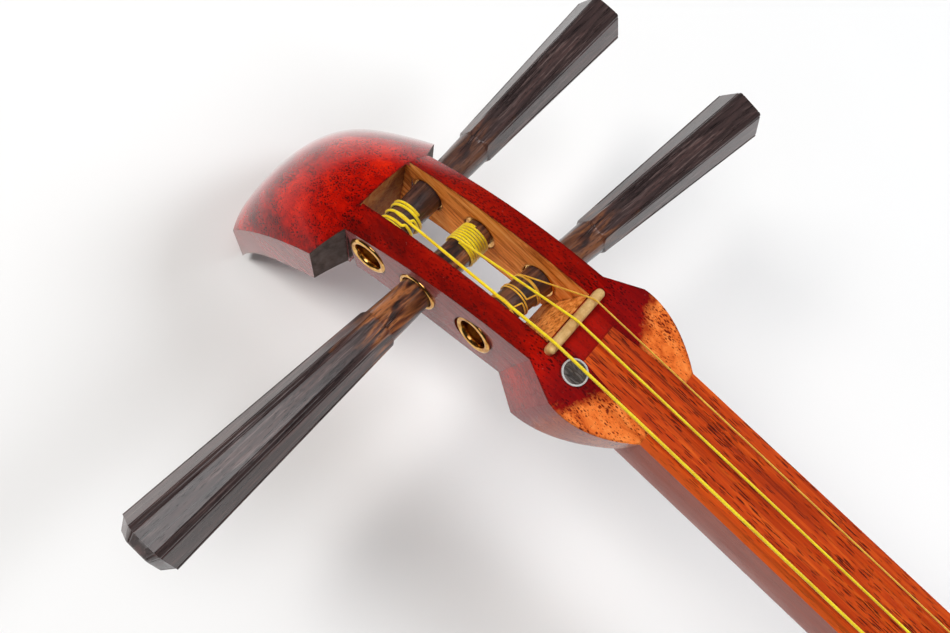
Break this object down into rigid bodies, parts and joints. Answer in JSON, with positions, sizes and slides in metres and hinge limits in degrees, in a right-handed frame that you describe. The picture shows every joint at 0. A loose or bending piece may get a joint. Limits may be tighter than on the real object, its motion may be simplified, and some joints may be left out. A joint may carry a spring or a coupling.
{
  "type": "three-string long-necked lute",
  "caption": "Three-string lute with a square skin-covered body, a long fretless neck in three lengths, and a scroll-tipped slotted head with turning pegs.",
  "frame": {"origin": "centre of the back skin, on which the instrument lies", "axes": "+X along the neck towards the head, +Y towards the side with the single peg, +Z out of the front skin"},
  "size_m": [0.9785, 0.2482, 0.1068],
  "materials": {
    "lacquered_head": "deep red gloss lacquer over close-grained hardwood",
    "neck_wood": "oiled red-orange hardwood with dark pores",
    "body_wood": "polished red-brown hardwood",
    "peg_wood": "dark polished hardwood with brown figure",
    "ferrule_brass": "polished",
    "nut_brass": "satin",
    "string_silk": "twisted yellow silk",
    "fine_string": "fine golden silk",
    "body_skin": "stretched white skin, satin",
    "bridge_horn": "pale polished horn",
    "cord_silk": "braided gold-brown silk cord",
    "ring_metal": "polished",
    "plug_horn": "dark polished horn",
    "screw_metal": "machined"
  },
  "bodies": {
    "instrument": {"back_skin": "body_skin", "body_panel_head": "body_wood", "body_panel_left": "body_wood", "body_panel_right": "body_wood", "body_panel_tail": "body_wood", "bridge": "bridge_horn", "buzz_sleeve": "ring_metal", "ferrule_a_far": "ferrule_brass", "ferrule_a_handle": "ferrule_brass", "ferrule_b_far": "ferrule_brass", "ferrule_b_handle": "ferrule_brass", "ferrule_c_far": "ferrule_brass", "ferrule_c_handle": "ferrule_brass", "front_skin": "body_skin", "head": "lacquered_head", "neck_lower": "neck_wood", "neck_middle": "neck_wood", "neck_upper": "neck_wood", "nut": "nut_brass", "string_1": "string_silk", "string_2": "string_silk", "string_3": "fine_string", "tail_cord": "cord_silk"},
    "peg_a": {"peg_a": "peg_wood", "string_turns_a": "string_silk"},
    "peg_b": {"peg_b": "peg_wood", "string_turns_b": "string_silk"},
    "peg_c": {"peg_c": "peg_wood", "string_turns_c": "fine_string"},
    "buzz_screw": {"buzz_screw": "screw_metal"},
    "buzz_plug": {"buzz_plug": "plug_horn"}
  },
  "joints": [
    {"name": "peg_a_turn", "type": "hinge", "parent": "instrument", "child": "peg_a", "pos_m": [0.79785, 0, 0.07411], "axis": [0.0506, -0.9987, -0.0001], "continuous": true},
    {"name": "peg_b_turn", "type": "hinge", "parent": "instrument", "child": "peg_b", "pos_m": [0.77646, 0, 0.08036], "axis": [0.0209, 0.9998, 0], "continuous": true},
    {"name": "peg_c_turn", "type": "hinge", "parent": "instrument", "child": "peg_c", "pos_m": [0.75257, 0, 0.08523], "axis": [-0.1167, -0.9932, 0.0002], "continuous": true},
    {"name": "buzz_screw_turn", "type": "hinge", "parent": "instrument", "child": "buzz_screw", "pos_m": [0.7257, 0.012, 0.10237], "axis": [0.0017, 0, 1], "range_deg": [-360, 360]},
    {"name": "buzz_plug_rise", "type": "slide", "parent": "instrument", "child": "buzz_plug", "axis": [0.0017, 0, 1], "range_m": [-0.0007, 0.0007]}
  ],
  "couplings": [
    {"joint": "buzz_plug_rise", "follows": "buzz_screw_turn", "m_per_rad": 0.00011141}
  ]
}
